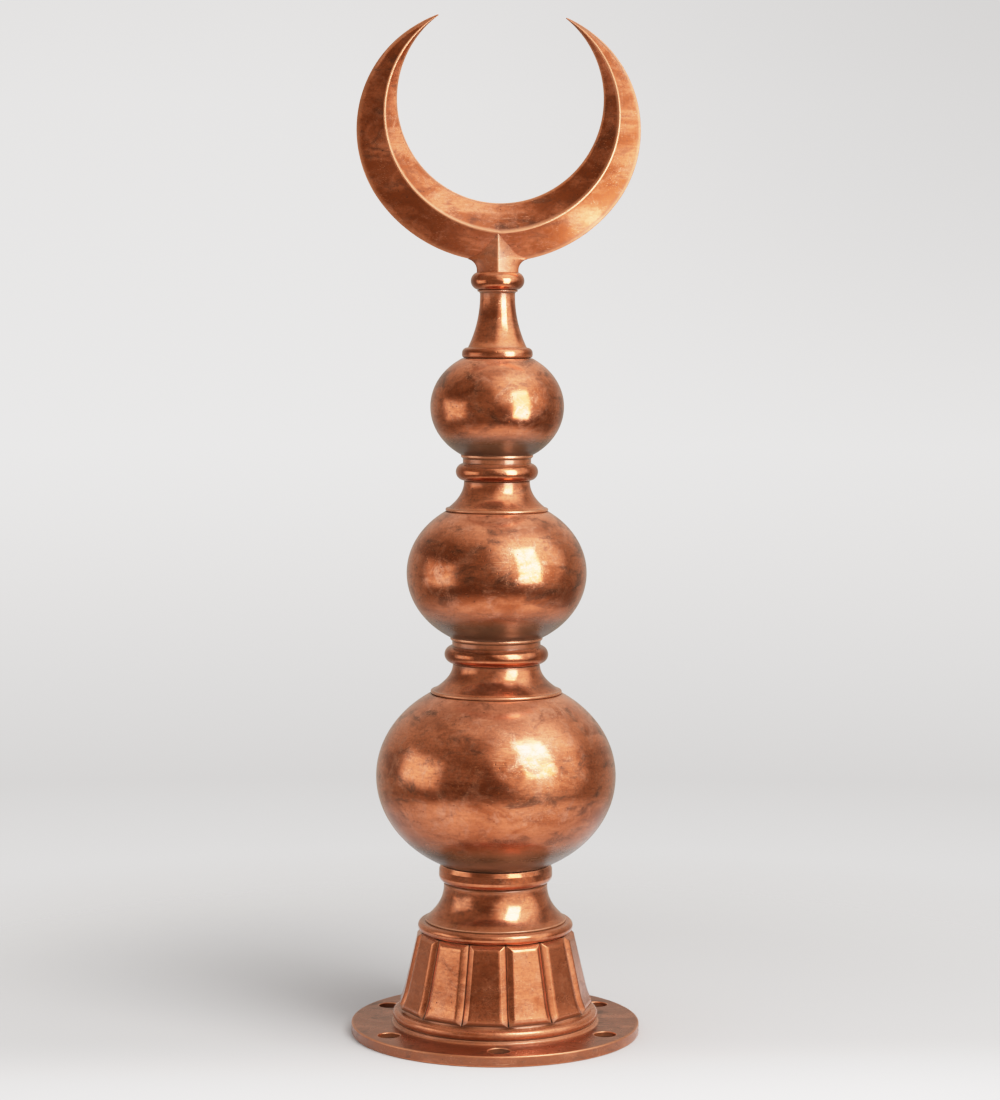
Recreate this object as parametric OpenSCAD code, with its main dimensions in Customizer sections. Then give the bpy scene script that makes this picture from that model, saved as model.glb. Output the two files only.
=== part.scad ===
// Roof finial: a crescent on a turned stem of three flattened balls, standing on a bolted flange.
// Every piece is turned about the Z axis except the panelled base and the crescent.
// The origin is the middle of the flange's underside. The front of the finial faces -Y.

/* [Flange] */
// Radius of the mounting flange
flange_r = 120; // [110:1:150]
// Thickness of the flange
flange_t = 9; // [5:0.5:16]
// Rounding of the flange's rim
flange_edge_r = 1.2; // [0.5:0.1:2.4]
// Diameter of the circle through the bolt holes
bolt_circle_d = 204; // [194:1:220]
// Diameter of each bolt hole
bolt_hole_d = 18; // [8:0.5:22]
// Number of bolt holes
bolt_count = 6; // [4:1:8]

/* [Panelled base] */
// How far the foot bead stands out past the foot of the panels
foot_overhang = 4.5; // [2.5:0.1:7]
// Section radius of the foot bead
foot_bead = 4.2; // [3:0.1:5]
// Rounded step between the flange and the foot bead
foot_fillet = 2.4; // [1:0.1:3]
// Cove between the foot bead and the panels
foot_cove = 2.2; // [1:0.1:4]
// Radius to the panel faces at the top of the base
panel_top_r = 66.2; // [58:0.1:72]
// Height of the panels
panel_h = 63.1; // [45:0.1:85]
// Slope of the panel faces from upright, in degrees
panel_slope = 13.2; // [8:0.1:16]
// Number of panels round the base
panel_count = 13; // [9:1:18]
// Turn of the valley nearest the front, in degrees
panel_turn = 6; // [-20:0.5:20]
// Depth of the valleys between the panels
valley_depth = 4; // [1:0.1:6]
// Width of the rounded side of a panel
panel_side_w = 5.6; // [2:0.1:8]
// Height of the sloped top end of a panel
panel_top_end = 4.6; // [2:0.1:8]
// Height of the sloped bottom end of a panel
panel_bottom_end = 7; // [2:0.1:12]

/* [Base neck] */
// How far the torus over the panels stands out past the top of the valleys
torus_overhang = 2.4; // [0.5:0.1:5]
// Height of that torus
base_torus_h = 9; // [6:0.1:12]
// How far the thin bead above the torus is set back from it
base_bead_setback = 5.8; // [3.5:0.1:8]
// Height of the thin bead
base_bead_h = 1.8; // [1:0.1:4]
// Radius of the base neck at its top
base_neck_r = 43.1; // [36:0.1:45]
// Height of the hollow sweep of the base neck
base_neck_h = 30.4; // [22:0.1:40]

/* [Large ball and its collar] */
// Largest radius of the collar under the large ball
collar_r = 47.2; // [44:0.1:54]
// Height of the collar
collar_h = 15.3; // [12:0.1:20]
// Radius of the large ball
large_ball_r = 99.5; // [82:0.1:122]
// Half height of the full large ball
large_ball_rise = 82.4; // [66:0.1:102]

/* [Lower neck and ring] */
// Radius of the lip on the large ball
lower_lip_r = 54.4; // [48:0.1:66]
// Radius of the lower neck at its top
lower_neck_r = 36; // [32:0.1:42]
// Height of the lower neck
lower_neck_h = 25.2; // [16:0.1:36]
// Largest radius of the lower ring
lower_ring_r = 43; // [40:0.1:52]
// Section radius of the lower ring's bead
lower_ring_bead = 7.2; // [5:0.1:8]
// Height of the lower ring with its band
lower_ring_h = 21.5; // [19.5:0.1:30]

/* [Middle ball] */
// Radius of the middle ball
middle_ball_r = 74.4; // [62:0.1:92]
// Half height of the full middle ball
middle_ball_rise = 62; // [50:0.1:76]

/* [Upper neck and ring] */
// Radius of the lip on the middle ball
upper_lip_r = 42.4; // [36:0.1:50]
// Radius of the upper neck at its top
upper_neck_r = 27.2; // [24:0.1:32]
// Height of the upper neck
upper_neck_h = 25.4; // [16:0.1:34]
// Largest radius of the upper ring
upper_ring_r = 34; // [31:0.1:42]
// Section radius of the upper ring's bead
upper_ring_bead = 7.2; // [4.5:0.1:7.8]
// Height of the upper ring with its band
upper_ring_h = 21.2; // [18:0.1:27]

/* [Small ball] */
// Radius of the small ball
small_ball_r = 55.1; // [46:0.1:67]
// Half height of the full small ball
small_ball_rise = 46.8; // [39:0.1:58]

/* [Long neck and knop] */
// Radius of the ring on the small ball
neck_ring_r = 29.1; // [26:0.1:36]
// Height of that ring
neck_ring_h = 8.8; // [8:0.1:12]
// Radius of the long neck at its thinnest
long_neck_r = 14.4; // [12:0.1:16]
// Height of the long neck above its ring
long_neck_h = 47; // [36:0.1:62]
// Largest radius of the knop
knop_r = 22; // [20.5:0.1:27]
// Section radius of the knop
knop_bead = 7.5; // [6:0.1:8]

/* [Crescent] */
// Radius of the crescent's inner edge
crescent_r = 84; // [70:0.5:102]
// Width of the crescent at the bottom, across both bevels
crescent_w = 48.5; // [42:0.1:56]
// How far the centre of the outer edge's bottom arc is below the inner edge's centre
outer_drop = 11.1; // [6:0.1:16]
// How much smaller the radius of the two side arcs is than that of the bottom arc
side_tuck = 23; // [16:0.1:30]
// Angle from the bottom where the bottom arc meets each side arc
side_join = 52; // [30:1:70]
// Width left at each tip
tip_w = 1; // [0.6:0.1:3]
// Half thickness of the crescent at its ridge
crescent_half_t = 13; // [10:0.5:16]
// Sideways shift of the inner edge, left by hand work
inner_shift = 1.1; // [0:0.1:3]
// Sideways lean of the crescent, in degrees
crescent_lean = 0.3; // [0:0.1:4]
// Half width of the stem under the crescent
stem_half_w = 17.2; // [15:0.1:19]
// Height of the crescent's outer edge above the knop
stem_h = 8.4; // [7:0.1:16]
// Radius of the hollow where the stem runs out into the crescent
stem_fillet = 9; // [5:0.1:10]

/* [Hidden] */

// how finely the curved outlines are stepped
ARC_STEPS = 10;
FLARE_STEPS = 18;
BALL_STEPS = 56;
HORN_STEPS = 80;

TURN_FN = 96;
HOLE_FN = 64;

// how far the flange's fillet reaches in under the foot bead, and where on it the bead starts
FOOT_FILLET_INSET = 1;
FOOT_BEAD_START = -60;
// ledge between the foot's cove and the foot of the valleys
FOOT_LEDGE = 0.6;
// how far the panels reach down into the foot, so that the two are one piece
PANEL_SINK = 1;
// shares of a panel's rounded side that its steep flat takes, across and in depth
STEEP_W_SHARE = 0.38;
STEEP_RISE_SHARE = 0.68;
// how far round the torus and the thin bead are seen before the next shape covers them
TORUS_END = 66;
BEAD_END = 70;
// collar: rounding below, slight draft of its band, and the step and rounding of its top edge
COLLAR_LOWER_ROUND = 6;
COLLAR_START = -80;
COLLAR_DRAFT = 0.2;
COLLAR_EDGE_H = 4;
COLLAR_EDGE_STEP = 1.4;
COLLAR_EDGE_ROUND = 1;
// the lip at the bottom of a neck and the thin edge at the top of a band
LIP_H = 3;
LIP_STEP = 0.8;
LIP_END = 80;
BAND_LIP = 1.6;
BAND_FLARE = 1.6;
// how far a ring's band is set back from the ring's bead
LOWER_BAND_SETBACK = 6.4;
UPPER_BAND_SETBACK = 5.8;
// the ring under the long neck: rounding below and above, and the step in to the neck
NECK_RING_START = -70;
NECK_RING_LOWER = 2.6;
NECK_RING_UPPER = 4.6;
NECK_RING_STEP = 0.3;
// powers of the hollow sweeps: 1 is a straight cone, more is hollower
NECK_POWER = 2.2;
BASE_NECK_POWER = 2.26;
LONG_NECK_POWER = 2.1;
// plain upright land at the top of the base neck
BASE_NECK_LAND = 2;
// how far the ball stands in from the rim of what carries it
SEAT_SETBACK = 1.2;
// thin edge under the knop
KNOP_SEAT_STEP = 2.2;
KNOP_SEAT_H = 3.4;
KNOP_SEAT_EDGE = 1;
KNOP_SEAT_END = 100;
KNOP_LEDGE = 0.6;
// where the ridge runs, as a share of the crescent's width from its inner edge
RIDGE_SHARE = 0.51;
LEFT_TIP_RIDGE_SHARE = 0.22;
RIGHT_TIP_RIDGE_SHARE = 0.38;
RIDGE_POWER = 0.8;
// depth of the stem's front ridge as a share of the crescent's half thickness
STEM_DEPTH_SHARE = 0.93;
// the stem's run-out into the crescent: how much it narrows and deepens up to the crescent's ridge,
// and the shares of its width and depth and the height of the last level, which is inside
RUN_OUT_NARROWING = 0.55;
RUN_OUT_DEEPENING = 0.05;
STEM_END_W_SHARE = 0.25;
STEM_END_DEPTH_SHARE = 0.6;
STEM_END_H = 4;
STEM_HOLLOW_STEPS = 6;
RUN_OUT_STEPS = 4;
HORN_SIDES = 4;
// the stem's four quarters, front right first: sign across, sign back, and shares from ridge to side
STEM_SHARES = [0.2, 0.4, 0.6, 0.8, 0.94];
STEM_SHARES_BACK = [0.94, 0.8, 0.6, 0.4, 0.2];
STEM_QUARTERS = [
    [1, -1, concat([0], STEM_SHARES)],
    [1, 1, STEM_SHARES_BACK],
    [-1, 1, concat([0], STEM_SHARES)],
    [-1, -1, STEM_SHARES_BACK]];
STEM_SIDES = 22;

foot_h = foot_fillet + 2 * foot_bead + foot_cove;
panel_foot_r = panel_top_r + panel_h * tan(panel_slope);
foot_r = panel_foot_r + foot_overhang;
base_torus_r = panel_top_r - valley_depth + torus_overhang;
base_bead_r = base_torus_r - base_bead_setback;
collar_top_r = collar_r - COLLAR_EDGE_STEP;
large_seat_r = collar_top_r - SEAT_SETBACK;
lower_band_r = lower_ring_r - LOWER_BAND_SETBACK;
middle_seat_r = lower_band_r + BAND_FLARE;
upper_band_r = upper_ring_r - UPPER_BAND_SETBACK;
small_seat_r = upper_band_r + BAND_FLARE;
knop_core_r = knop_r - knop_bead;
knop_seat_r = stem_half_w + KNOP_LEDGE;
knop_top_angle = acos((knop_seat_r - knop_core_r) / knop_bead);

// heights of the joints between the pieces, each from the piece below
z_base = flange_t;
z_panels = z_base + foot_h;
z_base_neck = z_panels + panel_h;
z_collar = z_base_neck + base_torus_h + base_bead_h + base_neck_h;
z_large = z_collar + collar_h;
z_lower_neck = z_large + ball_height(large_ball_r, large_ball_rise, large_seat_r, lower_lip_r);
z_lower_ring = z_lower_neck + lower_neck_h;
z_middle = z_lower_ring + lower_ring_h;
z_upper_neck = z_middle + ball_height(middle_ball_r, middle_ball_rise, middle_seat_r, upper_lip_r);
z_upper_ring = z_upper_neck + upper_neck_h;
z_small = z_upper_ring + upper_ring_h;
z_long_neck = z_small + ball_height(small_ball_r, small_ball_rise, small_seat_r, neck_ring_r);
z_knop = z_long_neck + neck_ring_h + long_neck_h;
z_crescent = z_knop + knop_bead * (1 + sin(knop_top_angle));

// ---- outline helpers: every point is [radius, height] ----

// part of a circle about [r, z]
function arc(r, z, rr, a0, a1, n = ARC_STEPS) =
    [for (i = [0:n]) let (a = a0 + (a1 - a0) * i / n) [r + rr * cos(a), z + rr * sin(a)]];

// part of an ellipse about [0, z]
function oval(z, a, b, a0, a1, n = BALL_STEPS) =
    [for (i = [0:n]) let (t = a0 + (a1 - a0) * i / n) [a * cos(t), z + b * sin(t)]];

// hollow sweep from [r0, z0] up to [r1, z1], steepest at the top
function flare(r0, z0, r1, z1, power, n = FLARE_STEPS) =
    [for (i = [0:n]) let (t = i / n) [r1 + (r0 - r1) * pow(1 - t, power), z0 + (z1 - z0) * t]];

// height kept of a ball that is cut flat at one radius below and another above
function ball_below(r, rise, cut_r) = rise * sqrt(1 - pow(cut_r / r, 2));
function ball_height(r, rise, low_r, top_r) = ball_below(r, rise, low_r) + ball_below(r, rise, top_r);

// turn an outline about Z, closed to the axis, with its foot at height z
module turned(z, outline) {
    last = outline[len(outline) - 1];
    points = concat([[0, outline[0][1]]], outline, [[0, last[1]]]);
    translate([0, 0, z]) rotate_extrude($fn = TURN_FN) polygon(points);
}

// ---- shapes used more than once ----

// ball cut flat where it sits and where the neck stands on it
module ball(z, r, rise, low_r, top_r) {
    turned(z, oval(ball_below(r, rise, low_r), r, rise, -acos(low_r / r), acos(top_r / r)));
}

// neck with a rounded lip that sweeps in to a plain top
module neck(z, lip_r, top_r, h) {
    turned(z, concat(
        arc(lip_r - LIP_H / 2, LIP_H / 2, LIP_H / 2, -90, LIP_END),
        flare(lip_r - LIP_H / 2 - LIP_STEP, LIP_H, top_r, h, NECK_POWER)));
}

// ring with a full bead below and a plain band above that opens out under the ball
module bead_ring(z, r, bead, h, band_r, top_r) {
    core_r = r - bead;
    turned(z, concat(
        arc(core_r, bead, bead, -90, acos((band_r - core_r) / bead)),
        [[band_r, h - 2 * BAND_LIP], [top_r, h - BAND_LIP], [top_r, h]]));
}

// ---- pieces ----

module flange() {
    e = flange_edge_r;
    color("#8f5237") difference() {
        turned(0, concat(
            arc(flange_r - e, e, e, -90, 0),
            arc(flange_r - e, flange_t - e, e, 0, 90)));
        for (i = [0:bolt_count - 1])
            rotate(-90 + i * 360 / bolt_count)
                translate([bolt_circle_d / 2, 0, -1])
                    cylinder(d = bolt_hole_d, h = flange_t + 2, $fn = HOLE_FN);
    }
}

// the panels: each has a flat face, two rounded sides, and a sloped end above and below,
// and the valleys between them run straight from foot to top
module panel_ring() {
    step = 360 / panel_count;
    valley_foot = panel_foot_r - valley_depth;
    valley_top = panel_top_r - valley_depth;
    // the rounded side is two flats: a steep one in the valley and a shallow one by the face
    steep_w = panel_side_w * STEEP_W_SHARE;
    steep_rise = valley_depth * STEEP_RISE_SHARE;
    function polar(a, r, z) = [r * cos(a), r * sin(a), z];
    // point on a panel at w from its valley, at a rise above the valley, side -1 or 1
    function edge_point(i, side, w, rise, z) =
        let (
            r = valley_foot - z * tan(panel_slope),
            mid = (i + 0.5) * step,
            half = (r + rise) * sin(step / 2) - w,
            out = (r + rise) * cos(step / 2))
        [out * cos(mid) - side * half * sin(mid), out * sin(mid) + side * half * cos(mid), z];
    low = panel_bottom_end;
    high = panel_h - panel_top_end;
    low_mid = low * STEEP_W_SHARE;
    high_mid = panel_h - panel_top_end * STEEP_W_SHARE;
    // ten points to a panel: the two ends of its first valley, then four round each level of its face
    points = [for (i = [0:panel_count - 1]) each [
        polar(i * step, valley_foot + PANEL_SINK * tan(panel_slope), -PANEL_SINK),
        polar(i * step, valley_top, panel_h),
        edge_point(i, -1, steep_w, steep_rise, low_mid),
        edge_point(i, 1, steep_w, steep_rise, low_mid),
        edge_point(i, 1, steep_w, steep_rise, high_mid),
        edge_point(i, -1, steep_w, steep_rise, high_mid),
        edge_point(i, -1, panel_side_w, valley_depth, low),
        edge_point(i, 1, panel_side_w, valley_depth, low),
        edge_point(i, 1, panel_side_w, valley_depth, high),
        edge_point(i, -1, panel_side_w, valley_depth, high)]];
    function at(i, k) = (i % panel_count) * 10 + k;
    faces = concat(
        [[for (i = [0:panel_count - 1]) at(i, 0)]],
        [[for (i = [panel_count - 1:-1:0]) at(i, 1)]],
        [for (i = [0:panel_count - 1]) each [
            [at(i, 6), at(i, 9), at(i, 8), at(i, 7)],
            [at(i, 0), at(i, 1), at(i, 5), at(i, 2)],
            [at(i, 2), at(i, 5), at(i, 9), at(i, 6)],
            [at(i + 1, 1), at(i + 1, 0), at(i, 3), at(i, 4)],
            [at(i, 4), at(i, 3), at(i, 7), at(i, 8)],
            [at(i + 1, 0), at(i, 0), at(i, 2), at(i, 3)],
            [at(i, 3), at(i, 2), at(i, 6), at(i, 7)],
            [at(i, 1), at(i + 1, 1), at(i, 4), at(i, 5)],
            [at(i, 5), at(i, 4), at(i, 8), at(i, 9)]]]);
    rotate(-90 + panel_turn) polyhedron(points, faces, convexity = 4);
}

module panelled_base() {
    bead_r = foot_r - foot_bead;
    ledge_r = panel_foot_r - valley_depth + FOOT_LEDGE;
    color("#9a5638") {
        translate([0, 0, z_panels]) panel_ring();
        turned(z_base, concat(
            arc(foot_r + foot_fillet - FOOT_FILLET_INSET, foot_fillet, foot_fillet, -90, -180),
            arc(bead_r, foot_fillet + foot_bead, foot_bead, FOOT_BEAD_START, 90),
            [[ledge_r + foot_cove, foot_h - foot_cove], [ledge_r, foot_h]]));
    }
}

module base_neck() {
    half = base_torus_h / 2;
    bead = base_bead_h / 2;
    neck_foot = base_torus_h + base_bead_h;
    neck_top = neck_foot + base_neck_h;
    color("#a3593a") turned(z_base_neck, concat(
        arc(base_torus_r - half, half, half, -90, TORUS_END),
        arc(base_bead_r - bead, base_torus_h + bead, bead, -BEAD_END, BEAD_END),
        flare(base_bead_r - bead, neck_foot, base_neck_r, neck_top - BASE_NECK_LAND, BASE_NECK_POWER),
        [[base_neck_r, neck_top]]));
}

module collar() {
    lower = COLLAR_LOWER_ROUND;
    upper = COLLAR_EDGE_ROUND;
    color("#a3593a") turned(z_collar, concat(
        arc(collar_r - lower, lower, lower, COLLAR_START, 0),
        [[collar_r - COLLAR_DRAFT, collar_h - COLLAR_EDGE_H]],
        arc(collar_top_r - upper, collar_h - upper, upper, 0, 90)));
}

module large_ball() {
    color("#a85c38") ball(z_large, large_ball_r, large_ball_rise, large_seat_r, lower_lip_r);
}

module lower_neck() {
    color("#a3593a") neck(z_lower_neck, lower_lip_r, lower_neck_r, lower_neck_h);
}

module lower_ring() {
    color("#a3593a")
        bead_ring(z_lower_ring, lower_ring_r, lower_ring_bead, lower_ring_h, lower_band_r, middle_seat_r);
}

module middle_ball() {
    color("#a85c38") ball(z_middle, middle_ball_r, middle_ball_rise, middle_seat_r, upper_lip_r);
}

module upper_neck() {
    color("#a3593a") neck(z_upper_neck, upper_lip_r, upper_neck_r, upper_neck_h);
}

module upper_ring() {
    color("#a3593a")
        bead_ring(z_upper_ring, upper_ring_r, upper_ring_bead, upper_ring_h, upper_band_r, small_seat_r);
}

module small_ball() {
    color("#a85c38") ball(z_small, small_ball_r, small_ball_rise, small_seat_r, neck_ring_r);
}

module long_neck() {
    low = NECK_RING_LOWER;
    top = NECK_RING_UPPER;
    h = neck_ring_h + long_neck_h;
    flare_r = neck_ring_r - top - NECK_RING_STEP;
    seat_r = long_neck_r + KNOP_SEAT_STEP;
    color("#a3593a") turned(z_long_neck, concat(
        arc(neck_ring_r - low, low, low, NECK_RING_START, 0),
        arc(neck_ring_r - top, neck_ring_h - top, top, 0, 90),
        flare(flare_r, neck_ring_h, long_neck_r, h - KNOP_SEAT_H, LONG_NECK_POWER),
        arc(seat_r, h - KNOP_SEAT_H, KNOP_SEAT_STEP, 180, KNOP_SEAT_END),
        [[seat_r, h - KNOP_SEAT_EDGE], [seat_r, h]]));
}

module knop() {
    color("#a3593a") turned(z_knop, arc(knop_core_r, knop_bead, knop_bead, -90, knop_top_angle, 24));
}

// ---- crescent ----

// the inner edge is one circle, and the outer edge is a bottom arc that runs into two tighter side arcs;
// all are set out from the inner edge's centre, and a is the angle from the bottom
horn_centre = stem_h + crescent_w + crescent_r;
outer_r = crescent_r + crescent_w - outer_drop;
side_r = outer_r - side_tuck;
outer_centre = [-inner_shift, -outer_drop];
function side_centre(side) = outer_centre + side_tuck * [side * sin(side_join), -cos(side_join)];

// distance from the origin, along the unit vector u, to the circle of radius r about c
function reach(u, c, r) = let (d = u * c) d + sqrt(d * d + r * r - c * c);
function horn_outer(a) =
    let (
        u = [sin(a), -cos(a)],
        low = reach(u, outer_centre, outer_r),
        from_centre = u * low - outer_centre)
    atan2(abs(from_centre[0]), -from_centre[1]) < side_join
        ? low
        : reach(u, side_centre(sign(a)), side_r);

// angle at which the crescent has narrowed to its tip width
function tip_angle(side) =
    let (
        c = side_centre(side),
        inner = crescent_r + tip_w,
        along = (inner * inner + c * c - side_r * side_r) / (2 * inner))
    atan2(side * c[0], -c[1]) + acos(along / norm(c));

function horn_share(t) =
    let (tip = t < 0 ? LEFT_TIP_RIDGE_SHARE : RIGHT_TIP_RIDGE_SHARE)
    RIDGE_SHARE + (tip - RIDGE_SHARE) * pow(abs(t), RIDGE_POWER);
function horn_point(a, out, depth) =
    let (r = crescent_r + out) [r * sin(a), depth, horn_centre - r * cos(a)];

module horns() {
    points = [for (i = [0:HORN_STEPS]) let (
            t = 2 * i / HORN_STEPS - 1,
            a = t * tip_angle(t < 0 ? -1 : 1),
            w = horn_outer(a) - crescent_r,
            depth = crescent_half_t * w / crescent_w) each [
        horn_point(a, 0, 0),
        horn_point(a, horn_share(t) * w, -depth),
        horn_point(a, w, 0),
        horn_point(a, horn_share(t) * w, depth)]];
    faces = concat(
        [[for (k = [0:HORN_SIDES - 1]) k]],
        [for (i = [0:HORN_STEPS - 1], k = [0:HORN_SIDES - 1])
            let (p = i * HORN_SIDES, next = (k + 1) % HORN_SIDES)
            [p + k, p + HORN_SIDES + k, p + HORN_SIDES + next, p + next]],
        [[for (k = [HORN_SIDES - 1:-1:0]) HORN_STEPS * HORN_SIDES + k]]);
    translate([inner_shift, 0, 0]) polyhedron(points, faces, convexity = 6);
}

// one level of the stem: a pointed oval with its ridges to front and back and its sides rounded
function stem_level(half_w, depth, z) = [for (quarter = STEM_QUARTERS, t = quarter[2])
    [quarter[0] * half_w * sin(90 * t), quarter[1] * depth * (1 - t), z]];

module stem() {
    // the stem's side runs out along a hollow that touches the outer edge's bottom arc
    arc_z = horn_centre - outer_drop;
    fillet_x = stem_half_w + stem_fillet;
    rise = sqrt(pow(outer_r + stem_fillet, 2) - fillet_x * fillet_x);
    fillet_z = arc_z - rise;
    sweep = asin(rise / (outer_r + stem_fillet));
    ridge_z = horn_centre - crescent_r - RIDGE_SHARE * crescent_w;
    top_z = fillet_z + stem_fillet * sin(sweep);
    top_x = fillet_x - stem_fillet * cos(sweep);
    depth = crescent_half_t * STEM_DEPTH_SHARE;
    levels = concat(
        [stem_level(stem_half_w, depth, 0)],
        [for (i = [0:STEM_HOLLOW_STEPS]) let (a = sweep * i / STEM_HOLLOW_STEPS)
            stem_level(fillet_x - stem_fillet * cos(a), depth, fillet_z + stem_fillet * sin(a))],
        [for (i = [1:RUN_OUT_STEPS]) let (t = i / RUN_OUT_STEPS)
            stem_level(
                top_x * (1 - RUN_OUT_NARROWING * t),
                depth * (1 + RUN_OUT_DEEPENING * t),
                top_z + (ridge_z - top_z) * t)],
        [stem_level(top_x * STEM_END_W_SHARE, depth * STEM_END_DEPTH_SHARE, ridge_z + STEM_END_H)]);
    last = len(levels) - 1;
    points = [for (level = levels) each level];
    faces = concat(
        [[for (k = [0:STEM_SIDES - 1]) k]],
        [for (i = [0:last - 1], k = [0:STEM_SIDES - 1])
            let (p = i * STEM_SIDES, next = (k + 1) % STEM_SIDES)
            [p + k, p + STEM_SIDES + k, p + STEM_SIDES + next, p + next]],
        [[for (k = [STEM_SIDES - 1:-1:0]) last * STEM_SIDES + k]]);
    polyhedron(points, faces, convexity = 4);
}

module crescent() {
    color("#9c5838") translate([0, 0, z_crescent]) {
        rotate([0, crescent_lean, 0]) horns();
        stem();
    }
}

flange();
panelled_base();
base_neck();
collar();
large_ball();
lower_neck();
lower_ring();
middle_ball();
upper_neck();
upper_ring();
small_ball();
long_neck();
knop();
crescent();
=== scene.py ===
import math

import bmesh
import bpy
import numpy as np
from mathutils import Matrix, Vector


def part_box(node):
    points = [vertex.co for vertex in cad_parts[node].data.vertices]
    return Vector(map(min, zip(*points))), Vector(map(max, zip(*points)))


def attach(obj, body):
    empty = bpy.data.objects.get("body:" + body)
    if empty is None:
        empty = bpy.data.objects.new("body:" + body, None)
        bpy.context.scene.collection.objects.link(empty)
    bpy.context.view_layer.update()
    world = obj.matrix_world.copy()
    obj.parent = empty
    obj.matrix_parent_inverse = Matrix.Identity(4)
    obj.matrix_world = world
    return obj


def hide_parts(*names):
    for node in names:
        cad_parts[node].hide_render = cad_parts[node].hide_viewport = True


MM = 0.001
TURN = 2 * math.pi

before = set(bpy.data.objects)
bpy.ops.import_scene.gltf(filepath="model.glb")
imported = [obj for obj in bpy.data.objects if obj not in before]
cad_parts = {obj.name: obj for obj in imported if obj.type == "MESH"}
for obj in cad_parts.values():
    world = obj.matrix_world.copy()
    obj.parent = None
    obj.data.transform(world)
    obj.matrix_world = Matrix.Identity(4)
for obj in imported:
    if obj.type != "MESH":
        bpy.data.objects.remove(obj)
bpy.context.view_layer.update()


# ---- sizes, in millimetres; heights and widest radii come from the frame ----

AROUND = 288            # faces round a turned piece
EDGE_WEAR = 0.4         # rounding that handling has given every sharp edge
FINE_STEP = 0.3         # spacing of outline points round a tight edge
COARSE_STEP = 2.5       # spacing of outline points on a plain sweep
BALL_ROWS = 121         # points from a ball's foot to its top
HORN_STATIONS = 480     # sections along the crescent, from tip to tip

HOLE_R = 9.0
HOLE_CIRCLE_R = 102.0
HOLE_COUNT = 6
HOLE_LIP = 0.8
RIM_LAND = 2.4          # flat kept round the rim, and round each hole, before the plain faces start
HOLE_LAND = 1.6
FLANGE_EDGE = 1.2

FOOT_BEAD = 4.2
FOOT_FILLET = 2.4
FOOT_COVE = 2.2
FOOT_STANDOUT = 4.5     # how far the bead stands out past the panels
PANEL_COUNT = 13
PANEL_TURN = 6.0        # degrees from the front to the nearest valley
PANEL_TOP_R = 66.2
PANEL_SLOPE = 13.2
PANEL_H = 63.1
VALLEY_DEPTH = 4.0
VALLEY_GROOVE = 0.7     # how much deeper the seam at the bottom of a valley is
PANEL_SIDE = 5.6
PANEL_TOP_END = 3.6
PANEL_BOTTOM_END = 3.6
PANEL_FLARE = 2.6       # how far a panel runs out at its foot
PANEL_FLARE_H = 16.0

TORUS_H = 9.0
THIN_BEAD_H = 1.8
THIN_BEAD_SETBACK = 5.8
BASE_NECK_TOP_R = 43.1
BASE_NECK_LAND = 2.0

COLLAR_ROUND = 6.0
COLLAR_EDGE_STEP = 1.4
COLLAR_EDGE_H = 4.0
COLLAR_EDGE_ROUND = 1.0
BALL_SETBACK = 1.2      # how far a ball stands in from the rim it sits on

LIP_H = 3.0
LIP_STEP = 0.8
LOWER_NECK_TOP_R = 36.0
UPPER_NECK_TOP_R = 27.2
RING_BEAD = 7.2
LOWER_BAND_SETBACK = 6.4
UPPER_BAND_SETBACK = 5.8
BAND_LIP = 1.6

NECK_RING_H = 8.8
NECK_RING_LOWER = 2.6
NECK_RING_UPPER = 4.6
LONG_NECK_R = 14.4
KNOP_SEAT_STEP = 2.2
KNOP_SEAT_H = 3.4
KNOP_BEAD = 7.5

HORN_R = 84.0           # inner edge of the crescent
HORN_W = 48.5           # width at the bottom
OUTER_DROP = 11.1
SIDE_TUCK = 23.0
SIDE_JOIN = math.radians(52)
HORN_TIP_W = 1.0
HORN_HALF_T = 13.0
HORN_SHIFT = 1.1
HORN_LEAN = math.radians(0.3)
RIDGE_SHARE = 0.51
LEFT_TIP_RIDGE_SHARE = 0.22
RIGHT_TIP_RIDGE_SHARE = 0.38
RIDGE_POWER = 0.8
STEM_HALF_W = 17.2
STEM_H = 8.4
STEM_FILLET = 9.0
STEM_DEPTH = 0.93 * HORN_HALF_T
EDGE_ROUND = 0.45
RIDGE_ROUND = 1.6
BEVEL_HOLLOW = 0.35


def low(node):
    """Height of a CAD node's underside, in millimetres."""
    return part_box(node)[0].z / MM


def tall(node):
    return (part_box(node)[1].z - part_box(node)[0].z) / MM


def widest(node):
    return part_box(node)[1].x / MM


# ---- outlines: lists of [radius, height] above the piece's underside ----

def arc(r, z, radius, start, end):
    """Part of a circle about [r, z], from one angle to another in degrees."""
    steps = max(3, round(abs(end - start) / 360 * TURN * radius / FINE_STEP))
    angles = np.radians(np.linspace(start, end, min(steps, 40)))
    return [[r + radius * math.cos(a), z + radius * math.sin(a)] for a in angles]


def flare(r0, z0, r1, z1, power):
    """Hollow sweep that is steepest at the top."""
    steps = max(8, round((z1 - z0) / 1.2))
    shares = np.linspace(0, 1, steps)
    return [[r1 + (r0 - r1) * (1 - t) ** power, z0 + (z1 - z0) * t] for t in shares]


def turning(before, here, after):
    """Angle that an outline turns through at a point: above zero on an outer edge."""
    into, out = here - before, after - here
    cross = into[0] * out[1] - into[1] * out[0]
    return math.atan2(cross, float(into @ out))


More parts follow.
